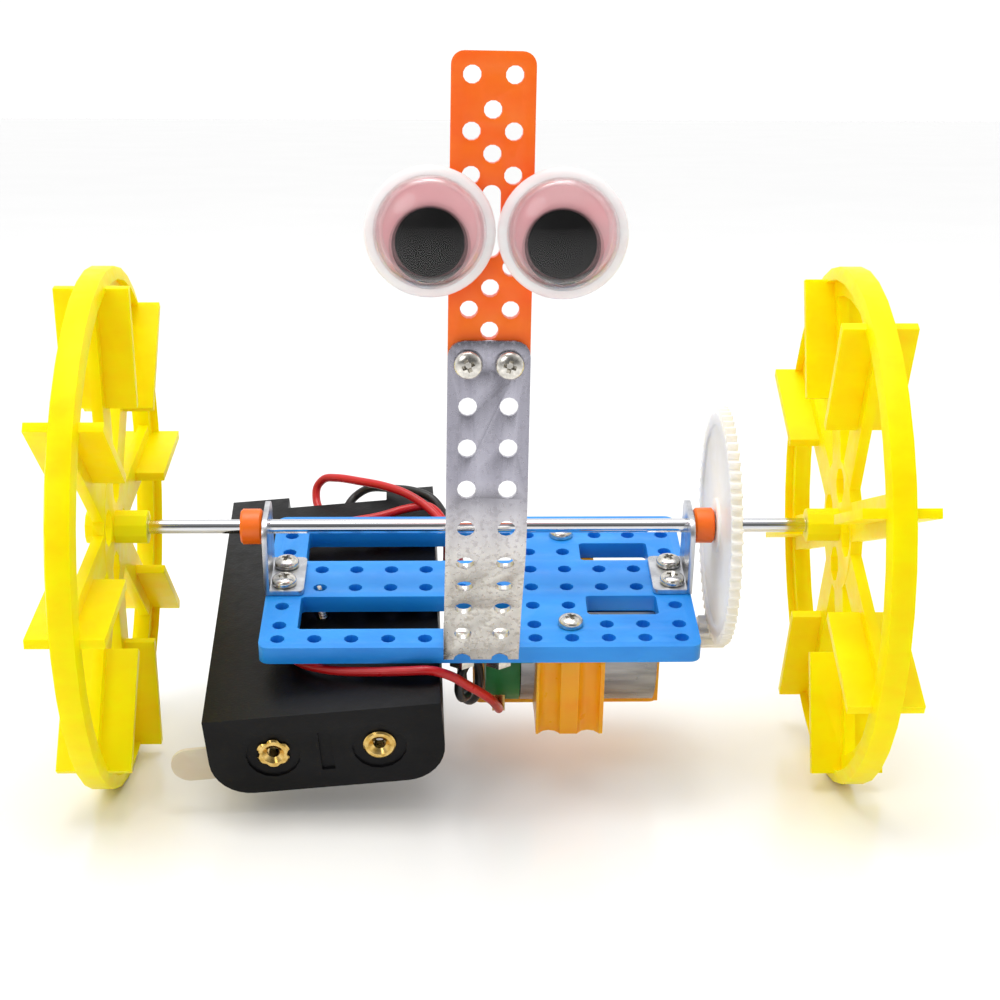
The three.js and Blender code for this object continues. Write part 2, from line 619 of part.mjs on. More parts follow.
function motorCradle() {
  const front = -4.4 - MOTOR.y;
  const back = 7.5 - MOTOR.y;
  const tray = slab(roundedRect(26.9, back - front, 1.2, 12.75, (front + back) / 2),
    -CRADLE.trayBottom, -CRADLE.trayTop);
  const lip = box(25.4, 26.2, front, back, -CRADLE.trayBottom + 0.2, MOTOR.half - 0.1);
  let cradle = union(tray, lip, cradlePost(-1), cradlePost(1));
  const hollow = new THREE.Shape();
  hollow.absarc(0, 0, MOTOR.r + GAP, 0, 2 * Math.PI);
  const bed = slabX(hollow, 0, 25.35, 24).intersect(box(0, 30, -20, 20, -CRADLE.trayTop, 20));
  const mouth = box(24, 28, -3.4, 3.4, -3.4, 9);
  cradle = cut(cradle, bed, mouth);
  for (const side of [-1, 1]) {
    const faceY = side * 15 - MOTOR.y;
    const flutes = [-2.75, 2.75].map((dx) => rodZ(-20, 5.6, 1.7, 12, CRADLE.screwX + dx, faceY + side * 0.75));
    cradle = cut(cradle, ...flutes, rodZ(2, 12, 0.9, 8, CRADLE.screwX, side * 12.5 - MOTOR.y));
  }
  return cradle;
}
addMesh(motor, 'motor_cradle', motorCradle(), amberPlastic);
placeScrew('front_cradle_screw', 6, CRADLE.screwX, -12.5, GAP);
placeScrew('rear_cradle_screw', 6, CRADLE.screwX, 12.5, GAP);

// ---------- battery holder ----------
// Its own group: x across, y to the back, z = 0 on the closed face that lies under the plate.
const holder = new THREE.Group();
holder.position.set(-21.9, 3.5, -4.65);
holder.rotation.set(...[2, -4.5, 1.2].map(THREE.MathUtils.degToRad), 'YXZ');
chassis.add(holder);

const BAY_X = 7.15;              // middle of each cell's bay
const BAY_Z = -6.2;              // height of the rivets
const INNER_Y = HOLDER.y / 2 - HOLDER.end;
const SCREW_HOLE = { x: -0.46, y: -5.87 };

// The outline is drawn in x and z, and extruded along y.
function batteryHolder() {
  const [w, h, r] = [HOLDER.x / 2, HOLDER.z, HOLDER.corner];
  const outline = new THREE.Shape();
  outline.moveTo(-w, 0);
  outline.lineTo(-w, -h + r);
  outline.absarc(-w + r, -h + r, r, Math.PI, 1.5 * Math.PI);
  outline.lineTo(w - r, -h);
  outline.absarc(w - r, -h + r, r, 1.5 * Math.PI, 2 * Math.PI);
  outline.lineTo(w, 0);
  const geometry = new THREE.ExtrudeGeometry(outline, { depth: HOLDER.y, bevelEnabled: false, curveSegments: 4 });
  geometry.rotateX(Math.PI / 2).translate(0, HOLDER.y / 2, 0);
  const block = solidOf(geometry);
  const bay = box(-w + HOLDER.side, w - HOLDER.side, -INNER_Y, INNER_Y, -h - 1, -HOLDER.base);
  const notch = box(-7, 8.5, INNER_Y - 1.5, INNER_Y + 3, -4.6, 1);
  const wedge = box(-0.9, 0.9, -HOLDER.y / 2 - 1, -HOLDER.y / 2 + 0.5, -9.4, -3.2);
  const rivets = [-BAY_X, BAY_X].flatMap((x) => [
    rodY(-HOLDER.y / 2 - 1, HOLDER.y / 2 + 1, 1.5, 10, x, BAY_Z),
    rodY(-HOLDER.y / 2 - 1, -HOLDER.y / 2 + 0.5, 3.7, 16, x, BAY_Z),
  ]);
  const screwHole = rodZ(-3, 1, 0.95, 8, SCREW_HOLE.x, SCREW_HOLE.y);
  const tabSlot = box(-w - 1, -w + 2, -INNER_Y + 1.1, -INNER_Y + 2.1, -h - 1, -5.5);
  return cut(block, bay, notch, wedge, ...rivets, screwHole, tabSlot);
}

addMesh(holder, 'battery_holder', batteryHolder(), blackPlastic);
const holderScrew = placeScrew('holder_screw', 6.2, SCREW_HOLE.x, SCREW_HOLE.y, -HOLDER.base - GAP, holder);
holderScrew.rotation.x = Math.PI;

// Hollow rivet through an end wall; flare is the outside flange's radius.
function eyelet(end, flare) {
  const out = end * (HOLDER.y / 2 - (end < 0 ? 0.5 : 0) + GAP);
  const inside = end * (INNER_Y - 0.75);
  const [low, high] = [Math.min(out, inside), Math.max(out, inside)];
  const flange = rodY(Math.min(out, out + end * 0.35), Math.max(out, out + end * 0.35), flare, 12);
  return cut(union(rodY(low, high, 1.35, 12), flange), rodY(-40, 40, 1.05, 10));
}

// A plated strip behind both rivets of one end wall.
function contactPlate(end, x0, x1) {
  const [a, b] = [end * (INNER_Y - GAP), end * (INNER_Y - 0.5)];
  const plate = box(x0, x1, Math.min(a, b), Math.max(a, b), BAY_Z - 4, BAY_Z + 3.6);
  const holes = [-BAY_X, BAY_X].map((x) => rodY(-40, 40, 1.5, 10, x, BAY_Z));
  return cut(plate, ...holes);
}
addMesh(holder, 'front_contact_plate', contactPlate(-1, -12, 12), springSteel);
addMesh(holder, 'rear_left_contact', contactPlate(1, -12, -2.6), springSteel);
addMesh(holder, 'rear_right_contact', contactPlate(1, 2.6, 12), springSteel);
for (const [name, end, x, flare] of [
  ['front_left', -1, -BAY_X, 2.3], ['front_right', -1, BAY_X, 2.2],
  ['rear_left', 1, -BAY_X, 2], ['rear_right', 1, BAY_X, 2],
]) {
  const rivet = addMesh(holder, `${name}_eyelet`, eyelet(end, flare), brass);
  rivet.position.set(x, 0, BAY_Z);
}

// A conical contact spring whose wide end sits on the plate.
class SpringPath extends THREE.Curve {
  getPoint(share, target = new THREE.Vector3()) {
    const angle = share * 3.5 * 2 * Math.PI;
    const radius = 3.3 - 1.5 * share;
    return target.set(radius * Math.cos(angle), 6.5 * share, radius * Math.sin(angle));
  }
}

function spring() {
  const section = new THREE.Shape().absarc(0, 0, 0.32, 0, 2 * Math.PI);
  const geometry = new THREE.ExtrudeGeometry(section, { steps: 36, extrudePath: new SpringPath(), curveSegments: 3 });
  return solidOf(geometry);
}
for (const [name, end, x] of [['front', -1, BAY_X], ['rear', 1, -BAY_X]]) {
  const coil = addMesh(holder, `${name}_contact_spring`, spring(), springSteel);
  coil.position.set(x, end * (INNER_Y - 1.2), BAY_Z);
  if (end > 0) coil.rotation.z = Math.PI;
}

// A film tongue that hangs out of the left side between the front contact and a cell.
function pullTab() {
  const outline = roundedRect(15, 5.2, 2.55, -14.1, -9.1);
  const geometry = new THREE.ExtrudeGeometry(outline, { depth: 0.5, bevelEnabled: false, curveSegments: 4 });
  return solidOf(geometry.rotateX(Math.PI / 2).translate(0, -INNER_Y + 1.85, 0));
}
addMesh(holder, 'battery_pull_tab', pullTab(), tanFilm);

// ---------- wires ----------
const RED_ROUTE = [
  [-23.9, 28.2, -9.9], [-23.95, 28.2, -8.3], [-24.3, 29.3, -6.3], [-24.8, 30.9, -5.5], [-25.3, 32.6, -4.7],
  [-25.2, 33.8, -3.1], [-24.0, 33.8, -1.6], [-21.8, 32.4, -0.7], [-18.4, 30.2, -0.1], [-14.4, 27.8, 0.3],
  [-11.0, 25.4, 0.3], [-8.0, 23.1, -0.5], [-5.8, 20.9, -1.7], [-4.1, 18.6, -3.6], [-2.9, 15.6, -4.8],
  [-2.6, 12.4, -5.0], [-2.7, 9.6, -5.0], [-3.1, 7.4, -5.9], [-3.5, 6.4, -8.0], [-3.9, 7.4, -10.1],
  [-4.3, 9.6, -11.0], [-4.5, 14.0, -10.7], [-4.5, 18.0, -8.7], [-4.5, 20.9, -5.6], [-5.1, 22.4, -3.0],
  [-7.2, 23.6, -1.15], [-10.6, 23.5, -1.4], [-14.8, 22.5, -2.2], [-19.8, 21.8, -2.8], [-24.4, 21.0, -3.25],
  [-27.3, 18.4, -3.5], [-28.0, 13.0, -3.8], [-28.0, 5.0, -4.0], [-27.8, -4.0, -4.3], [-27.2, -10.2, -4.55],
  [-25.0, -14.6, -4.5], [-20.4, -17.4, -4.1], [-15.2, -18.8, -3.5], [-10.4, -19.6, -2.9], [-6.6, -19.9, -2.65],
  [-4.0, -19.2, -4.0], [-2.0, -17.9, -6.2], [0.0, -16.0, -8.8], [1.7, -13.6, -11.8], [2.6, -10.8, -14.8],
  [2.9, -8.6, -16.7], [2.9, -7.15, -17.6],
];
const BLACK_ROUTE = [
  [-20.8, 28.3, -9.6], [-20.85, 28.3, -8.1], [-20.7, 29.05, -6.1], [-20.2, 31.05, -5.0], [-19.0, 32.7, -4.1],
  [-16.9, 32.8, -2.8], [-13.4, 31.0, -1.85], [-9.7, 29.0, -1.25], [-6.7, 26.9, -1.6], [-4.5, 24.3, -3.9],
  [-3.4, 21.4, -6.4], [-2.5, 18.0, -8.9], [-2.1, 13.6, -10.8], [-2.0, 7.0, -11.4], [-2.2, 0.0, -11.5],
  [-2.4, -6.0, -11.3], [-2.2, -10.2, -11.2], [-1.7, -13.2, -11.0], [-2.5, -15.4, -10.1], [-2.9, -16.2, -8.1],
  [-2.5, -15.4, -6.1], [-1.5, -13.6, -5.2], [-0.6, -11.8, -6.1], [-0.1, -11.2, -8.1], [0.0, -11.0, -10.4],
  [-0.3, -10.5, -12.8], [-1.1, -9.0, -14.9], [-2.0, -6.4, -16.3], [-2.4, -3.0, -16.8], [-2.4, 2.0, -16.9],
  [-2.4, 6.9, -17.1], [-1.6, 9.1, -17.3], [0.4, 9.95, -17.4], [3.2, 9.95, -17.4],
];

function wire(route) {
  const path = new THREE.CatmullRomCurve3(route.map((point) => new THREE.Vector3(...point)), false, 'centripetal');
  const section = new THREE.Shape();
  for (let i = 0; i < 8; i += 1) {
    const angle = (i / 8) * 2 * Math.PI;
    const point = [WIRE_R * Math.cos(angle), WIRE_R * Math.sin(angle)];
    if (i === 0) section.moveTo(...point);
    else section.lineTo(...point);
  }
  const steps = Math.round(path.getLength() / (WIRE_R * 4.6));
  return solidOf(new THREE.ExtrudeGeometry(section, { steps, extrudePath: path, curveSegments: 1 }));
}
addMesh(chassis, 'red_wire', wire(RED_ROUTE), redPvc);
addMesh(chassis, 'black_wire', wire(BLACK_ROUTE), blackPvc);

export default car;
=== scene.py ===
"""Looks for the two wheel robot car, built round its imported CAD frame."""
import json
import math

import bmesh
import bpy
from mathutils import Matrix, Vector


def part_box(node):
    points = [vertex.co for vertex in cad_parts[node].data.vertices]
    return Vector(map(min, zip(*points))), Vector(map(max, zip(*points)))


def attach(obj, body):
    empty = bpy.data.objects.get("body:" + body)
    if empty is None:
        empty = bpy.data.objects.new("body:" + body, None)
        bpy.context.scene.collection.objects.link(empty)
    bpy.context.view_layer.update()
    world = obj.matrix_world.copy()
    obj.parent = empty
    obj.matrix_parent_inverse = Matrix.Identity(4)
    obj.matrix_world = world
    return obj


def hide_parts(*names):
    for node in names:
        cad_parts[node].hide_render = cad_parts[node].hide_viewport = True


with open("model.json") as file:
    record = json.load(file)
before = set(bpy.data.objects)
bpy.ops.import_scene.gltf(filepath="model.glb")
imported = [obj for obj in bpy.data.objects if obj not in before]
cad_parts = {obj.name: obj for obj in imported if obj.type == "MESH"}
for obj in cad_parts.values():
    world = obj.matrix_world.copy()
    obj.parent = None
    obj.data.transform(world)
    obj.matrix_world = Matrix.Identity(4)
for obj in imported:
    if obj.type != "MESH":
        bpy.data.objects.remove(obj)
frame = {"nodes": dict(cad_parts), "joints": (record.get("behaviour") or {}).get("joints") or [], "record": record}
NODES = frame["nodes"]
BODY_OF = {node: body for body, group in frame["record"]["behaviour"]["bodies"].items() for node in group}
SLOT_OF = {part["node"]: part["material_slot"] for part in frame["record"]["subparts"]}
JOINTS = {joint["name"]: joint for joint in frame["joints"]}
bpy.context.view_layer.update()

MM = 0.001
AXLE = Vector(JOINTS["axle_spin"]["pos_m"])
TILT = math.radians(15)
AXLE_RISE = 8.57 * MM
# The chassis frame: origin in the middle of the plate's top face, x right, y back, z out of the plate.
CHASSIS = Matrix.Translation(AXLE) @ Matrix.Rotation(TILT, 4, "X") @ Matrix.Translation((0, 0, -AXLE_RISE))
PLATE_UP = CHASSIS.to_3x3() @ Vector((0, 0, 1))


# ---------- camera ----------
LENS = 67.2
CAMERA_PLACE = Vector((-4.5, -255.8, 100.4)) * MM
CAMERA_TURN = (76.72, -0.24, -1.62)


def add_camera():
    camera = bpy.data.objects.new("camera", bpy.data.cameras.new("camera"))
    bpy.context.scene.collection.objects.link(camera)
    camera.data.lens = LENS
    camera.data.clip_start = 0.01
    camera.location = CAMERA_PLACE
    camera.rotation_euler = [math.radians(angle) for angle in CAMERA_TURN]
    bpy.context.scene.camera = camera


add_camera()

# ---------- materials ----------
RANGE_SOCKETS = ("From Min", "From Max", "To Min", "To Max")


class Tree:
    """A Principled material and the few node chains that the finishes are made of."""

    def __init__(self, name, roughness, metallic=0.0, **sockets):
        self.material = bpy.data.materials.new(name)
        self.material.use_nodes = True
        self.nodes = self.material.node_tree.nodes
        self.links = self.material.node_tree.links
        self.shader = self.nodes["Principled BSDF"]
        self.shader.inputs["Roughness"].default_value = roughness
        self.shader.inputs["Metallic"].default_value = metallic
        for socket, value in sockets.items():
            self.shader.inputs[socket.replace("_", " ")].default_value = value
        self.coords = self.nodes.new("ShaderNodeTexCoord").outputs["Object"]

    def noise(self, scale, detail=4.0, stretch=(1, 1, 1)):
        """Noise from 0 to 1; scale is in features per metre."""
        mapping = self.nodes.new("ShaderNodeMapping")
        mapping.inputs["Scale"].default_value = stretch
        texture = self.nodes.new("ShaderNodeTexNoise")
        texture.inputs["Scale"].default_value = scale
        texture.inputs["Detail"].default_value = detail
        self.links.new(self.coords, mapping.inputs["Vector"])
        self.links.new(mapping.outputs["Vector"], texture.inputs["Vector"])
        return texture.outputs["Fac"]

    def height(self, low, high):
        """0 below the height low, 1 above the height high."""
        split = self.nodes.new("ShaderNodeSeparateXYZ")
        self.links.new(self.coords, split.inputs["Vector"])
        return self.remap(split.outputs["Z"], low, high)

    def remap(self, value, low, high, new_low=0.0, new_high=1.0):
        node = self.nodes.new("ShaderNodeMapRange")
        for socket, number in zip(RANGE_SOCKETS, (low, high, new_low, new_high)):
            node.inputs[socket].default_value = number
        self.links.new(value, node.inputs["Value"])
        return node.outputs["Result"]

    def mix(self, factor, first, second):
        """Mixes two colours, each a tuple or a socket."""
        node = self.nodes.new("ShaderNodeMix")
        node.data_type = "RGBA"
        self.links.new(factor, node.inputs["Factor"])
        for socket, colour in ((node.inputs[6], first), (node.inputs[7], second)):
            if isinstance(colour, tuple):
                socket.default_value = (*colour, 1)
            else:
                self.links.new(colour, socket)
        return node.outputs[2]

    def colour(self, socket):
        self.links.new(socket, self.shader.inputs["Base Color"])

    def rough(self, value, low, high):
        self.links.new(self.remap(value, 0.3, 0.7, low, high), self.shader.inputs["Roughness"])

    def bump(self, value, depth, strength=0.5):
        node = self.nodes.new("ShaderNodeBump")
        node.inputs["Strength"].default_value = strength
        node.inputs["Distance"].default_value = depth
        self.links.new(value, node.inputs["Height"])
        self.links.new(node.outputs["Normal"], self.shader.inputs["Normal"])


def plastic(name, deep, light, roughness, grain=0.00002, glow=0.0, glow_radius=(1, 0.5, 0.2), specular=0.5):
    """Moulded plastic: slow flow marks in the colour, fine mould grain in the surface."""
    tree = Tree(name, roughness, Specular_IOR_Level=specular)
    tree.shader.inputs["Subsurface Weight"].default_value = glow
    tree.shader.inputs["Subsurface Radius"].default_value = glow_radius
    tree.shader.inputs["Subsurface Scale"].default_value = 3 * MM
    flow = tree.remap(tree.noise(90, 3, (1, 1, 2.5)), 0.35, 0.65)
    tree.colour(tree.mix(flow, deep, light))
    tree.rough(tree.noise(700, 5), roughness - 0.07, roughness + 0.07)
    tree.bump(tree.noise(2600, 3), grain)
    return tree.material


def metal(name, dark, light, roughness, stretch=(1, 1, 1), scale=900, scratch=0.000015):
    """Bare or plated metal; stretch draws its marks out into brushing."""
    tree = Tree(name, roughness, 1.0)
    marks = tree.noise(scale, 6, stretch)
    tree.colour(tree.mix(tree.remap(marks, 0.35, 0.68), dark, light))
    tree.rough(tree.noise(scale * 0.6, 4, stretch), roughness * 0.7, roughness * 1.35)
    tree.bump(marks, scratch, 0.35)
    return tree.material


def neck_finish():
    """Zinc sheet, darker at the top with its own violet-grey tone and a painted dark reflection, and clean there;
    scuffed and warmer round the bend.
    """
    low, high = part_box("neck_strip")
    tree = Tree("zinc_neck", 0.34, 1.0)
    streaks = tree.remap(tree.noise(420, 6, (1, 1, 0.06)), 0.3, 0.7)
    spots = tree.remap(tree.noise(1500, 5), 0.5, 0.66)
    # painted reflection: the upper part's violet-grey is painted darker, standing in for the dark surroundings
    # that the bright metal reflects
    painted_dark_upper = tree.mix(streaks, (0.36, 0.35, 0.41), (0.47, 0.46, 0.53))
    lower = tree.mix(streaks, (0.55, 0.53, 0.50), (0.74, 0.72, 0.68))
    scuffed = tree.mix(spots, lower, (0.50, 0.47, 0.43))
    middle = low.z + 0.42 * (high.z - low.z)
    # the height mask puts the painted dark reflection on the upper part and the scuffed, warmer colour round the
    # bend
    tree.colour(tree.mix(tree.height(middle - 5 * MM, middle + 9 * MM), scuffed, painted_dark_upper))
    tree.rough(spots, 0.27, 0.42)
    tree.bump(streaks, 0.00002, 0.3)
    return tree.material


def clear_finish(name, roughness, tint, cover):
    """Thin clear plastic; cover is how much of the light it meets is reflected or bent."""
    tree = Tree(name, roughness)
    tree.shader.inputs["Transmission Weight"].default_value = 1.0
    tree.shader.inputs["Alpha"].default_value = cover
    tree.shader.inputs["IOR"].default_value = 1.46
    haze = tree.remap(tree.noise(500, 3), 0.3, 0.7)
    tree.colour(tree.mix(haze, tint, (1, 1, 1)))
    tree.rough(tree.noise(350, 4), roughness, roughness + 0.05)
    return tree.material


MATERIALS = {
    "yellow_plastic": plastic("yellow_moulding", (1, 0.74, 0.0), (1, 0.84, 0.0), 0.4, grain=0.000004,
                              glow=0.6, glow_radius=(1, 0.38, 0.0), specular=0.1),
    "blue_plastic": plastic("blue_moulding", (0.006, 0.25, 0.80), (0.012, 0.31, 0.90), 0.4, glow=0.08,
                            glow_radius=(0.05, 0.3, 1)),
    "orange_plastic": plastic("orange_moulding", (0.98, 0.13, 0.002), (1, 0.18, 0.004), 0.38, glow=0.12),
    "amber_plastic": plastic("amber_moulding", (1, 0.36, 0.0), (1, 0.46, 0.004), 0.34, glow=0.35,
                             glow_radius=(1, 0.4, 0.02)),
    "nylon": plastic("white_nylon", (0.93, 0.89, 0.80), (0.98, 0.96, 0.92), 0.4, glow=0.5,
                     glow_radius=(1, 0.9, 0.7)),
    "black_plastic": plastic("black_moulding", (0.003, 0.003, 0.0035), (0.006, 0.006, 0.007), 0.4,
                             grain=0.00005, specular=0.16),
    "zinc_steel": metal("zinc_sheet", (0.46, 0.47, 0.50), (0.70, 0.71, 0.73), 0.3, (1, 1, 0.15), 500),
    "chrome_rod": metal("bright_rod", (0.62, 0.63, 0.66), (0.80, 0.80, 0.82), 0.09, (0.05, 1, 1), 1200),
    "screw_steel": metal("nickel_screw", (0.50, 0.48, 0.44), (0.80, 0.77, 0.71), 0.2, scale=1800),
    "brass": metal("brass_plain", (0.60, 0.38, 0.09), (0.86, 0.62, 0.24), 0.22, scale=1500),
    "spring_steel": metal("plated_spring", (0.50, 0.50, 0.50), (0.72, 0.72, 0.70), 0.24),
    "copper": metal("enamelled_copper", (0.50, 0.17, 0.05), (0.78, 0.34, 0.12), 0.3, (0.1, 1, 1), 3000),
    "green_plastic": plastic("green_moulding", (0.004, 0.16, 0.03), (0.012, 0.27, 0.06), 0.42),
    "ferrite": plastic("ferrite", (0.03, 0.03, 0.033), (0.07, 0.07, 0.075), 0.7, grain=0.0001),
    "pink_card": plastic("pink_card", (1, 0.50, 0.53), (1, 0.58, 0.60), 0.6, grain=0.00004, specular=0.2),
    "clear_plastic": clear_finish("clear_dome", 0.02, (0.98, 0.98, 0.98), 0.4),
    "black_disc": plastic("black_disc", (0.002, 0.002, 0.002), (0.005, 0.0045, 0.005), 0.45, specular=0.12),
    "red_pvc": plastic("red_pvc", (0.45, 0.004, 0.006), (0.70, 0.012, 0.014), 0.34, grain=0.00003),
    "black_pvc": plastic("black_pvc", (0.007, 0.007, 0.007), (0.02, 0.02, 0.02), 0.34, grain=0.00003),
    "tan_film": plastic("tan_film", (0.70, 0.62, 0.50), (0.80, 0.74, 0.65), 0.36, glow=0.3),
}
RIM_FROST = plastic("frosted_rim", (0.96, 0.80, 0.80), (0.98, 0.92, 0.91), 0.18, glow=0.7,
                    glow_radius=(1, 0.8, 0.8), specular=0.3)
CAN_STEEL = metal("motor_can_steel", (0.26, 0.26, 0.27), (0.44, 0.44, 0.45), 0.26, (0.15, 1, 1), 700)
NECK = neck_finish()


# ---------- making pieces ----------
def smooth(mesh, degrees=38):
    mesh.polygons.foreach_set("use_smooth", [True] * len(mesh.polygons))
    mesh.set_sharp_from_angle(angle=math.radians(degrees))


def piece(name, mesh, material, body, slot, *stands_for):
    """Adds a finished mesh as a piece that rides on a body and may replace CAD nodes."""
    obj = bpy.data.objects.new(name, mesh)
    bpy.context.scene.collection.objects.link(obj)
    mesh.materials.clear()
    mesh.materials.append(material)
    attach(obj, body)
    if stands_for:
        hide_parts(*stands_for)
    return obj


def refined(node, width, material=None, segments=2, pierced=False):
    """Replaces a CAD node by a copy with softened edges.

    A pierced node keeps its flat faces in small pieces, since one face can't hold many holes.
    """
    work = bmesh.new()
    work.from_mesh(NODES[node].data)
    bmesh.ops.remove_doubles(work, verts=work.verts, dist=2e-6)
    if pierced:
        bmesh.ops.join_triangles(work, faces=work.faces, angle_face_threshold=0.02,
                                 angle_shape_threshold=math.pi)
    else:
        bmesh.ops.dissolve_limit(work, angle_limit=math.radians(1), verts=work.verts, edges=work.edges)
    sharp = [edge for edge in work.edges if edge.is_manifold and edge.calc_face_angle() > math.radians(32)]
    bmesh.ops.bevel(work, geom=sharp, offset=width, segments=segments, profile=0.6, affect="EDGES",
                    clamp_overlap=True)
    mesh = bpy.data.meshes.new(node + "_fine")
    bmesh.ops.triangulate(work, faces=[face for face in work.faces if len(face.verts) > 4])
    work.to_mesh(mesh)
    work.free()
    smooth(mesh)
    piece(node + "_fine", mesh, material or MATERIALS[SLOT_OF[node]], BODY_OF[node], SLOT_OF[node], node)


def lathe(profile, sides=64):
    """A closed mesh turned about Z from [radius, height] pairs, in metres; radius 0 closes an end."""
    work = bmesh.new()
    rings = []
    for radius, height in profile:
        count = 1 if radius == 0 else sides
        angles = [2 * math.pi * i / sides for i in range(count)]
        rings.append([work.verts.new((radius * math.cos(a), radius * math.sin(a), height)) for a in angles])
    for first, second in zip(rings, rings[1:]):
        for i in range(sides):
            j = (i + 1) % sides
            corners = [first[i % len(first)], first[j % len(first)], second[j % len(second)],
                       second[i % len(second)]]
            corners = list(dict.fromkeys(corners))
            if len(corners) > 2:
                work.faces.new(corners)
    bmesh.ops.remove_doubles(work, verts=work.verts, dist=1e-7)
    bmesh.ops.recalc_face_normals(work, faces=work.faces)
    mesh = bpy.data.meshes.new("turned")
    work.to_mesh(mesh)
    work.free()
    return mesh


def frame_at(point, axis):
    """The placement that takes the origin to point and +Z to axis."""
    return Matrix.Translation(point) @ axis.to_track_quat("Z", "Y").to_matrix().to_4x4()


def ends_along(node, axis):
    """The two ends of a turned CAD node on its own axis."""
    points = [vertex.co for vertex in NODES[node].data.vertices]
    along = [point.dot(axis) for point in points]
    flat = sum((point - axis * reach for point, reach in zip(points, along)), Vector()) / len(points)
    return flat + axis * min(along), flat + axis * max(along)


def carved(mesh, cutters):
    """The mesh with the solid of every cutter taken out of it."""
    body = bpy.data.objects.new("body", mesh)
    tools = [bpy.data.objects.new("tool", cutter) for cutter in cutters]
    for obj in (body, *tools):
        bpy.context.scene.collection.objects.link(obj)
    for tool in tools:
        boolean = body.modifiers.new("cut", "BOOLEAN")
        boolean.operation = "DIFFERENCE"
        boolean.object = tool
    bpy.context.view_layer.update()
    graph = bpy.context.evaluated_depsgraph_get()
    result = bpy.data.meshes.new_from_object(body.evaluated_get(graph))
    for obj in (body, *tools):
        bpy.data.objects.remove(obj)
    return result


# ---------- screws ----------
HEAD_R = 1.75 * MM
HEAD_H = 1.2 * MM
HEAD_EDGE = 0.35 * MM       # upright part of the head, under its dome
SHANK_R = 0.68 * MM
THREAD_PITCH = 0.45 * MM
SLOT_HALF = 1.1 * MM        # half the length of one arm of the cross
SLOT_DEEP = 0.75 * MM
SLOT_SKEW = 0.02            # keeps the blade's faces off the head's own corners


def slot_cutter(turn):
    """One arm of the cross recess, a tapered blade that points down from the head's top."""
    work = bmesh.new()
    corners = [(-SLOT_HALF, 0.4 * MM), (SLOT_HALF, 0.4 * MM),
               (0.35 * MM, -SLOT_DEEP), (-0.35 * MM, -SLOT_DEEP)]
    turned = Matrix.Rotation(turn, 3, "Z")
    rings = []
    for side in (-0.27 * MM, 0.27 * MM):
        rings.append([work.verts.new(turned @ Vector((x, side, z))) for x, z in corners])
    work.faces.new(rings[0])
    work.faces.new(rings[1][::-1])
    for i in range(4):
        j = (i + 1) % 4
        work.faces.new((rings[0][j], rings[0][i], rings[1][i], rings[1][j]))
    bmesh.ops.recalc_face_normals(work, faces=work.faces)
    mesh = bpy.data.meshes.new("blade")
    work.to_mesh(mesh)
    work.free()
    return mesh


def screw_mesh(length, turn):
    """A pan-head screw with a cross recess, its head's top at z = 0; turn is how the cross stands."""
    dome = [(HEAD_R * math.sin(a), -HEAD_H + HEAD_EDGE + (HEAD_H - HEAD_EDGE) * math.cos(a) ** 0.8)
            for a in [math.pi / 2 * i / 8 for i in range(9)]]
    thread = []
    reach = -HEAD_H
    while reach > -length + 0.9 * MM:
        thread += [(SHANK_R - 0.1 * MM, reach - 0.1 * THREAD_PITCH), (SHANK_R, reach - 0.5 * THREAD_PITCH)]
        reach -= THREAD_PITCH
    profile = [(0, 0), *dome[1:], (HEAD_R, -HEAD_H), *thread, (0.3 * MM, -length), (0, -length)]
    blades = [slot_cutter(SLOT_SKEW), slot_cutter(math.pi / 2 + SLOT_SKEW)]
    mesh = carved(lathe(profile, 32), blades)
    mesh.transform(Matrix.Rotation(turn, 4, "Z"))
    smooth(mesh, 42)
    return mesh


def add_screw(node, axis, turn):
    tip, top = ends_along(node, axis)
    mesh = screw_mesh((top - tip).length, turn)
    mesh.transform(frame_at(top, axis))
    piece(node + "_fine", mesh, MATERIALS["screw_steel"], BODY_OF[node], SLOT_OF[node], node)


HEAD_OUT = Vector(JOINTS["left_pupil_swing"]["axis"]).normalized()
HOLDER_TURN = (Matrix.Rotation(math.radians(-4.5), 3, "Y") @ Matrix.Rotation(math.radians(2), 3, "X")
               @ Matrix.Rotation(math.radians(1.2), 3, "Z"))
HOLDER_UP = CHASSIS.to_3x3() @ HOLDER_TURN @ Vector((0, 0, 1))
for index, name in enumerate(sorted(n for n in NODES if "_screw" in n)):
    direction = PLATE_UP
    if "head_screw" in name:
        direction = HEAD_OUT
    if name == "holder_screw":
        direction = -HOLDER_UP
    add_screw(name, direction, 0.35 + 0.8 * index)

# ---------- brass eyelets ----------
HOLDER_BACK = CHASSIS.to_3x3() @ HOLDER_TURN @ Vector((0, 1, 0))


def add_eyelet(node, outward, radius, petals):
    """A hollow rivet; its flange is rolled over, or split into petals."""
    inside, outside = ends_along(node, outward)
    length = (outside - inside).length
    lip, bore = length - 0.35 * MM, 0.85 * MM
    profile = [(bore, 0), (1.35 * MM, 0), (1.35 * MM, lip), (radius, lip), (radius, lip + 0.15 * MM),
               (radius - 0.25 * MM, length), (1.5 * MM, length), (bore, lip - 0.2 * MM), (bore, 0)]
    mesh = lathe(profile, 60)
    for vertex in mesh.vertices:
        reach = math.hypot(vertex.co.x, vertex.co.y)
        if petals and reach > 1.45 * MM:
            wave = math.cos(petals * math.atan2(vertex.co.y, vertex.co.x))
            shrink = 1 - 0.16 * max(0.0, wave) * (reach - 1.4 * MM) / (radius - 1.4 * MM)
            vertex.co.x *= shrink
            vertex.co.y *= shrink
    mesh.transform(frame_at(inside, outward))
    smooth(mesh, 30)
    piece(node + "_fine", mesh, MATERIALS["brass"], BODY_OF[node], SLOT_OF[node], node)


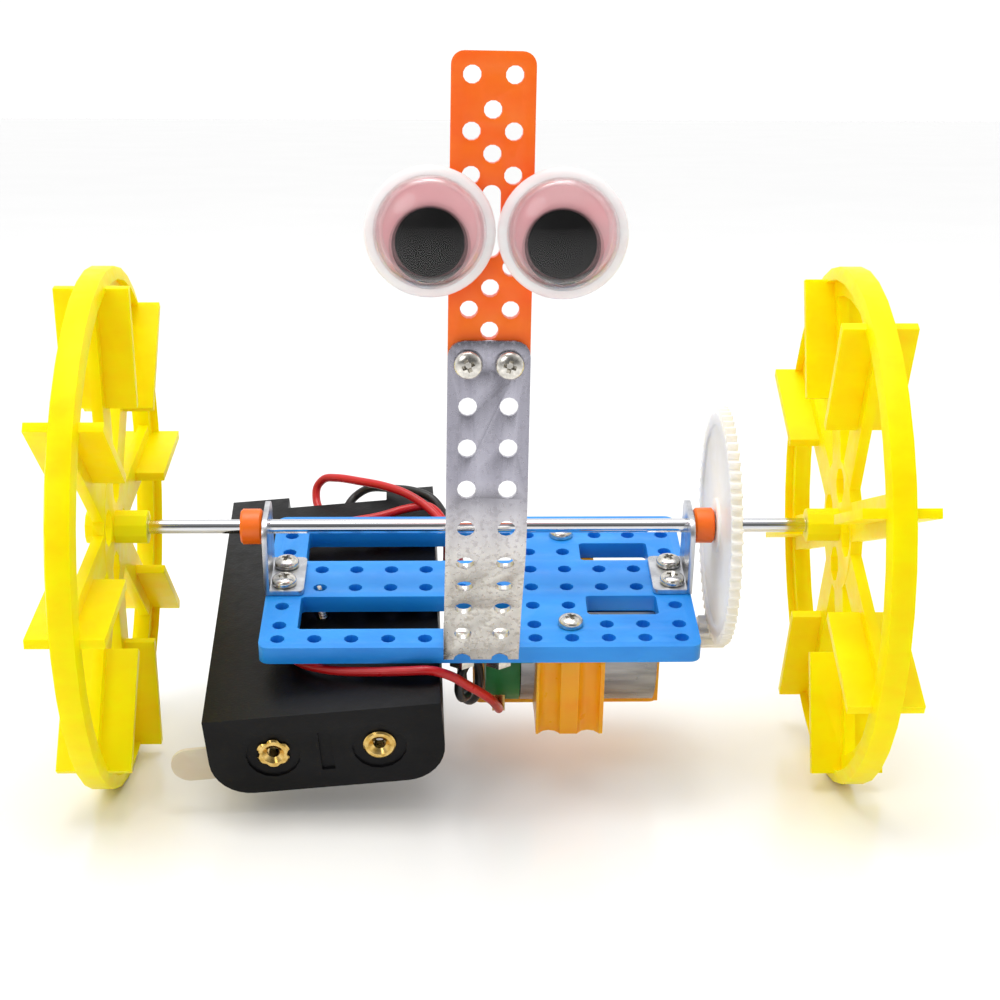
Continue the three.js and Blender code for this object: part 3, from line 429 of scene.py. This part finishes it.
add_eyelet("front_left_eyelet", -HOLDER_BACK, 2.3 * MM, 6)
add_eyelet("front_right_eyelet", -HOLDER_BACK, 2.2 * MM, 0)
add_eyelet("rear_left_eyelet", HOLDER_BACK, 2.0 * MM, 0)
add_eyelet("rear_right_eyelet", HOLDER_BACK, 2.0 * MM, 0)

# ---------- wires ----------
WIRE_D = 1.3 * MM
RED_ROUTE = [
    (-23.9, 28.2, -9.9), (-23.95, 28.2, -8.3), (-24.3, 29.3, -6.3), (-24.8, 30.9, -5.5),
    (-25.3, 32.6, -4.7), (-25.2, 33.8, -3.1), (-24.0, 33.8, -1.6), (-21.8, 32.4, -0.7), (-18.4, 30.2, -0.1),
    (-14.4, 27.8, 0.3), (-11.0, 25.4, 0.3), (-8.0, 23.1, -0.5), (-5.8, 20.9, -1.7), (-4.1, 18.6, -3.6),
    (-2.9, 15.6, -4.8), (-2.6, 12.4, -5.0), (-2.7, 9.6, -5.0), (-3.1, 7.4, -5.9), (-3.5, 6.4, -8.0),
    (-3.9, 7.4, -10.1), (-4.3, 9.6, -11.0), (-4.5, 14.0, -10.7), (-4.5, 18.0, -8.7), (-4.5, 20.9, -5.6),
    (-5.1, 22.4, -3.0), (-7.2, 23.6, -1.15), (-10.6, 23.5, -1.4), (-14.8, 22.5, -2.2), (-19.8, 21.8, -2.8),
    (-24.4, 21.0, -3.25), (-27.3, 18.4, -3.5), (-28.0, 13.0, -3.8), (-28.0, 5.0, -4.0), (-27.8, -4.0, -4.3),
    (-27.2, -10.2, -4.55), (-25.0, -14.6, -4.5), (-20.4, -17.4, -4.1), (-15.2, -18.8, -3.5),
    (-10.4, -19.6, -2.9), (-6.6, -19.9, -2.65), (-4.0, -19.2, -4.0), (-2.0, -17.9, -6.2),
    (0.0, -16.0, -8.8), (1.7, -13.6, -11.8), (2.6, -10.8, -14.8), (2.9, -8.6, -16.7), (2.9, -7.15, -17.6),
]
BLACK_ROUTE = [
    (-20.8, 28.3, -9.6), (-20.85, 28.3, -8.1), (-20.7, 29.05, -6.1), (-20.2, 31.05, -5.0),
    (-19.0, 32.7, -4.1), (-16.9, 32.8, -2.8), (-13.4, 31.0, -1.85), (-9.7, 29.0, -1.25), (-6.7, 26.9, -1.6),
    (-4.5, 24.3, -3.9), (-3.4, 21.4, -6.4), (-2.5, 18.0, -8.9), (-2.1, 13.6, -10.8), (-2.0, 7.0, -11.4),
    (-2.2, 0.0, -11.5), (-2.4, -6.0, -11.3), (-2.2, -10.2, -11.2), (-1.7, -13.2, -11.0),
    (-2.5, -15.4, -10.1), (-2.9, -16.2, -8.1), (-2.5, -15.4, -6.1), (-1.5, -13.6, -5.2),
    (-0.6, -11.8, -6.1), (-0.1, -11.2, -8.1), (0.0, -11.0, -10.4), (-0.3, -10.5, -12.8),
    (-1.1, -9.0, -14.9), (-2.0, -6.4, -16.3), (-2.4, -3.0, -16.8), (-2.4, 2.0, -16.9), (-2.4, 6.9, -17.1),
    (-1.6, 9.1, -17.3), (0.4, 9.95, -17.4), (3.2, 9.95, -17.4),
]


def smooth_line(route, steps=6):
    """A centripetal Catmull-Rom line through the route's points."""
    points = [Vector(point) for point in route]
    points = [2 * points[0] - points[1], *points, 2 * points[-1] - points[-2]]
    line = []
    for a, b, c, d in zip(points, points[1:], points[2:], points[3:]):
        knots = [0.0]
        for first, second in ((a, b), (b, c), (c, d)):
            knots.append(knots[-1] + math.sqrt((second - first).length))
        t0, t1, t2, t3 = knots
        for i in range(steps):
            t = t1 + (t2 - t1) * i / steps
            p = a.lerp(b, (t - t0) / (t1 - t0))
            q = b.lerp(c, (t - t1) / (t2 - t1))
            r = c.lerp(d, (t - t2) / (t3 - t2))
            pq = p.lerp(q, (t - t0) / (t2 - t0))
            qr = q.lerp(r, (t - t1) / (t3 - t1))
            line.append(pq.lerp(qr, (t - t1) / (t2 - t1)))
    return [*line, points[-2]]


def add_wire(name, route):
    line = [CHASSIS @ (point * MM) for point in smooth_line(route)]
    curve = bpy.data.curves.new(name + "_fine", "CURVE")
    curve.dimensions = "3D"
    curve.bevel_depth = WIRE_D / 2
    curve.bevel_resolution = 5
    curve.use_fill_caps = True
    spline = curve.splines.new("POLY")
    spline.points.add(len(line) - 1)
    for point, place in zip(spline.points, line):
        point.co = (*place, 1)
    spline.use_smooth = True
    wire = bpy.data.objects.new(name + "_fine", curve)
    bpy.context.scene.collection.objects.link(wire)
    curve.materials.append(MATERIALS[SLOT_OF[name]])
    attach(wire, "chassis")
    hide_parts(name)


for wire_name, wire_route in (("red_wire", RED_ROUTE), ("black_wire", BLACK_ROUTE)):
    add_wire(wire_name, wire_route)

# ---------- eyes ----------
EYE_R = 7.75 * MM
PUPIL_R = 4.5 * MM
DOME_FOOT = 1.95            # in mm above the back of the disc, as are the dome's own numbers


def arc(steps):
    return [math.pi / 2 * (1 - i / steps) for i in range(steps + 1)]


def bowl(radius, rise):
    """A quarter ellipse from the top of a dome down to its foot, both measures in mm."""
    return [(radius * math.cos(a) * MM, (DOME_FOOT + rise * math.sin(a)) * MM) for a in arc(14)]


def add_eye(side):
    axis = Vector(JOINTS[side + "_pupil_swing"]["axis"]).normalized()
    back, _ = ends_along(side + "_eye_back", axis)
    place = frame_at(back, axis)

    disc = lathe([(0, 0), (EYE_R - 0.5 * MM, 0), (EYE_R - 0.2 * MM, 0.2 * MM), (EYE_R - 0.2 * MM, 0.75 * MM),
                  (EYE_R - 0.5 * MM, 0.8 * MM), (0, 0.8 * MM)])
    rim = lathe([(6.4 * MM, 0.9 * MM), (7.5 * MM, 0.9 * MM), (EYE_R, 1.1 * MM), (EYE_R, 1.45 * MM),
                 (7.5 * MM, 1.75 * MM), (7.0 * MM, 2.0 * MM), (6.6 * MM, 2.1 * MM), (6.4 * MM, 1.9 * MM),
                 (6.4 * MM, 0.9 * MM)])
    dome = lathe([*bowl(6.45, 2.4), *bowl(6.75, 2.65)[::-1]])
    pupil_base, _ = ends_along(side + "_pupil", axis)
    pupil = lathe([(0, 0), (PUPIL_R - 0.15 * MM, 0), (PUPIL_R, 0.12 * MM), (PUPIL_R, 0.5 * MM),
                   (PUPIL_R - 0.2 * MM, 0.68 * MM), (0, 0.7 * MM)])
    pupil.transform(frame_at(pupil_base, axis))
    for mesh in (disc, rim, dome):
        mesh.transform(place)
    for mesh in (disc, rim, dome, pupil):
        smooth(mesh, 50)
    piece(side + "_eye_back_fine", disc, MATERIALS["pink_card"], "chassis", "pink_card", side + "_eye_back")
    piece(side + "_eye_rim_fine", rim, RIM_FROST, "chassis", "clear_plastic", side + "_eye_dome")
    piece(side + "_eye_dome_fine", dome, MATERIALS["clear_plastic"], "chassis", "clear_plastic")
    piece(side + "_pupil_fine", pupil, MATERIALS["black_disc"], side + "_pupil", "black_disc",
          side + "_pupil")


for eye_side in ("left", "right"):
    add_eye(eye_side)

# ---------- turned pieces on the axle ----------
ACROSS = Vector((1, 0, 0))


def add_rod(node, radius, chamfer, bore=0.0):
    """Replaces a turned CAD node on an X axis by a smooth one."""
    start, end = ends_along(node, ACROSS)
    length = (end - start).length
    profile = [(bore, 0), (radius - chamfer, 0), (radius, chamfer), (radius, length - chamfer),
               (radius - chamfer, length), (bore, length)]
    if bore:
        profile.append(profile[0])
    mesh = lathe(profile, 48)
    mesh.transform(frame_at(start, ACROSS))
    smooth(mesh)
    piece(node + "_fine", mesh, MATERIALS[SLOT_OF[node]], BODY_OF[node], SLOT_OF[node], node)


add_rod("axle", 1.0 * MM, 0.25 * MM)
add_rod("motor_shaft", 1.0 * MM, 0.2 * MM)
add_rod("left_collar", 2.5 * MM, 0.3 * MM, 1.08 * MM)
add_rod("right_collar", 2.5 * MM, 0.3 * MM, 1.08 * MM)

# ---------- softened CAD pieces ----------
refined("left_wheel", 0.14 * MM, pierced=True)
refined("right_wheel", 0.14 * MM, pierced=True)
refined("base_plate", 0.22 * MM, pierced=True)
refined("head_strip", 0.25 * MM)
refined("neck_strip", 0.1 * MM, NECK)
refined("motor_cradle", 0.25 * MM)
refined("battery_holder", 0.3 * MM)
refined("motor_end_cap", 0.2 * MM)
refined("motor_can", 0.2 * MM, CAN_STEEL)
refined("left_axle_bracket", 0.12 * MM)
refined("right_axle_bracket", 0.12 * MM)
refined("drive_gear", 0.1 * MM, segments=1)
refined("pinion", 0.1 * MM, segments=1)
for cad_name, cad_node in NODES.items():
    cad_node.data.materials.clear()
    cad_node.data.materials.append(MATERIALS[SLOT_OF[cad_name]])


# ---------- floor and light ----------
def add_floor():
    tree = Tree("floor", 0.22)
    tree.colour(tree.mix(tree.remap(tree.noise(12, 2), 0.3, 0.7), (0.93, 0.93, 0.93), (0.95, 0.95, 0.95)))
    mesh = bpy.data.meshes.new("floor")
    corners = [(-3, -3, 0), (3, -3, 0), (3, 3, 0), (-3, 3, 0)]
    mesh.from_pydata(corners, [], [(0, 1, 2, 3)])
    mesh.materials.append(tree.material)
    floor = bpy.data.objects.new("floor", mesh)
    bpy.context.scene.collection.objects.link(floor)


def add_light(name, place, target, size, power):
    light = bpy.data.objects.new(name, bpy.data.lights.new(name, "AREA"))
    light.data.shape = "DISK"
    light.data.size = size
    light.data.energy = power
    light.location = place
    light.rotation_euler = (Vector(place) - Vector(target)).to_track_quat("Z", "Y").to_euler()
    bpy.context.scene.collection.objects.link(light)


def add_world(strength, front):
    """A white studio with a darker wall on the front side, which bright metal shows."""
    world = bpy.data.worlds.new("studio")
    world.use_nodes = True
    bpy.context.scene.world = world
    nodes, links = world.node_tree.nodes, world.node_tree.links
    background = nodes["Background"]
    background.inputs["Strength"].default_value = strength
    split = nodes.new("ShaderNodeSeparateXYZ")
    links.new(nodes.new("ShaderNodeTexCoord").outputs["Generated"], split.inputs["Vector"])
    ramp = nodes.new("ShaderNodeMapRange")
    for socket, number in zip(RANGE_SOCKETS, (-0.9, -0.3, front, 1)):
        ramp.inputs[socket].default_value = number
    links.new(split.outputs["Y"], ramp.inputs["Value"])
    links.new(ramp.outputs["Result"], background.inputs["Color"])


add_floor()
add_world(1.06, 0.14)
CENTRE = (0, 0, 0.04)
add_light("top_softbox", (-0.05, -0.05, 0.7), CENTRE, 0.5, 2.2)
add_light("front_fill", (-0.35, -0.6, 0.4), CENTRE, 0.35, 1.0)
bpy.context.scene.view_settings.view_transform = "Standard"
